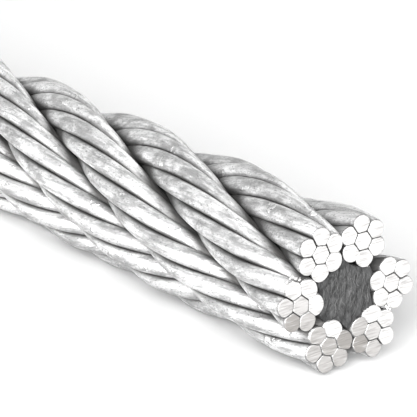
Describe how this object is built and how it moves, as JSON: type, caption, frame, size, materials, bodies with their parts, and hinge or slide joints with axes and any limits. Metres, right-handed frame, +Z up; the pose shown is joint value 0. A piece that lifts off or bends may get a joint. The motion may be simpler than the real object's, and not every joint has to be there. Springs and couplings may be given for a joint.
{
  "type": "cut length of wire rope",
  "caption": "Straight cut length of galvanised steel wire rope, right-hand ordinary lay round a fibre core, with both ends sawn square.",
  "frame": {"origin": "on the floor under the middle of the rope's length", "axes": "+X along the rope towards the sawn end that the picture shows, +Z up"},
  "size_m": [0.3048, 0.0241, 0.0243],
  "materials": {
    "galvanised_wire": "hot-dip zinc, mottled grey and satin, bright at the sawn ends",
    "fibre_core": "dark oiled natural fibre, matt"
  },
  "bodies": {
    "root": {"fibre_core": "fibre_core", "strand_1_centre_wire": "galvanised_wire", "strand_1_outer_wire_1": "galvanised_wire", "strand_1_outer_wire_2": "galvanised_wire", "strand_1_outer_wire_3": "galvanised_wire", "strand_1_outer_wire_4": "galvanised_wire", "strand_1_outer_wire_5": "galvanised_wire", "strand_1_outer_wire_6": "galvanised_wire", "strand_2_centre_wire": "galvanised_wire", "strand_2_outer_wire_1": "galvanised_wire", "strand_2_outer_wire_2": "galvanised_wire", "strand_2_outer_wire_3": "galvanised_wire", "strand_2_outer_wire_4": "galvanised_wire", "strand_2_outer_wire_5": "galvanised_wire", "strand_2_outer_wire_6": "galvanised_wire", "strand_3_centre_wire": "galvanised_wire", "strand_3_outer_wire_1": "galvanised_wire", "strand_3_outer_wire_2": "galvanised_wire", "strand_3_outer_wire_3": "galvanised_wire", "strand_3_outer_wire_4": "galvanised_wire", "strand_3_outer_wire_5": "galvanised_wire", "strand_3_outer_wire_6": "galvanised_wire", "strand_4_centre_wire": "galvanised_wire", "strand_4_outer_wire_1": "galvanised_wire", "strand_4_outer_wire_2": "galvanised_wire", "strand_4_outer_wire_3": "galvanised_wire", "strand_4_outer_wire_4": "galvanised_wire", "strand_4_outer_wire_5": "galvanised_wire", "strand_4_outer_wire_6": "galvanised_wire", "strand_5_centre_wire": "galvanised_wire", "strand_5_outer_wire_1": "galvanised_wire", "strand_5_outer_wire_2": "galvanised_wire", "strand_5_outer_wire_3": "galvanised_wire", "strand_5_outer_wire_4": "galvanised_wire", "strand_5_outer_wire_5": "galvanised_wire", "strand_5_outer_wire_6": "galvanised_wire", "strand_6_centre_wire": "galvanised_wire", "strand_6_outer_wire_1": "galvanised_wire", "strand_6_outer_wire_2": "galvanised_wire", "strand_6_outer_wire_3": "galvanised_wire", "strand_6_outer_wire_4": "galvanised_wire", "strand_6_outer_wire_5": "galvanised_wire", "strand_6_outer_wire_6": "galvanised_wire"}
  },
  "joints": []
}
